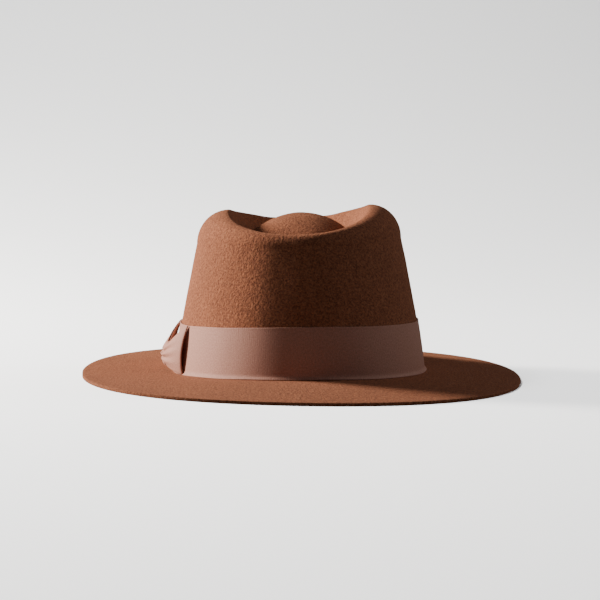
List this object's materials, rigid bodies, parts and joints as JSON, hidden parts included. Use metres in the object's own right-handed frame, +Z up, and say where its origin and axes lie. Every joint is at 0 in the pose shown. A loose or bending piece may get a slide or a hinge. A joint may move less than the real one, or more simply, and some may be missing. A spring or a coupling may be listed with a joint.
{
  "type": "fedora hat",
  "caption": "Felt hat with a teardrop crown, a wide flat brim, a ribbon band with a side bow, a leather sweatband and a lining.",
  "frame": {"origin": "middle of the bounding box, on the surface that the brim rests on", "axes": "+Z up out of the crown, +Y towards the front of the hat, +X towards the wearer's right"},
  "size_m": [0.3226, 0.358, 0.1269],
  "materials": {
    "felt": "brushed wool felt",
    "ribbon": "matte grosgrain",
    "sweat_leather": "smooth",
    "reed_plastic": "matte",
    "tape_cloth": "matte tape",
    "thread": "twisted thread",
    "lining_satin": "satin",
    "label_leather": "smooth, blank"
  },
  "bodies": {
    "root": {"felt_body": "felt", "hat_band": "ribbon", "bow_front_loop": "ribbon", "bow_rear_loop": "ribbon", "bow_knot": "ribbon", "bow_tacks": "thread", "sweatband": "sweat_leather", "sweatband_reed": "reed_plastic", "reed_tape": "tape_cloth", "sweatband_stitches": "thread", "back_seam_stitches": "thread", "seam_bow": "ribbon", "size_label": "label_leather", "lining_side": "lining_satin", "lining_tip": "lining_satin", "tip_piping": "lining_satin"}
  },
  "joints": []
}
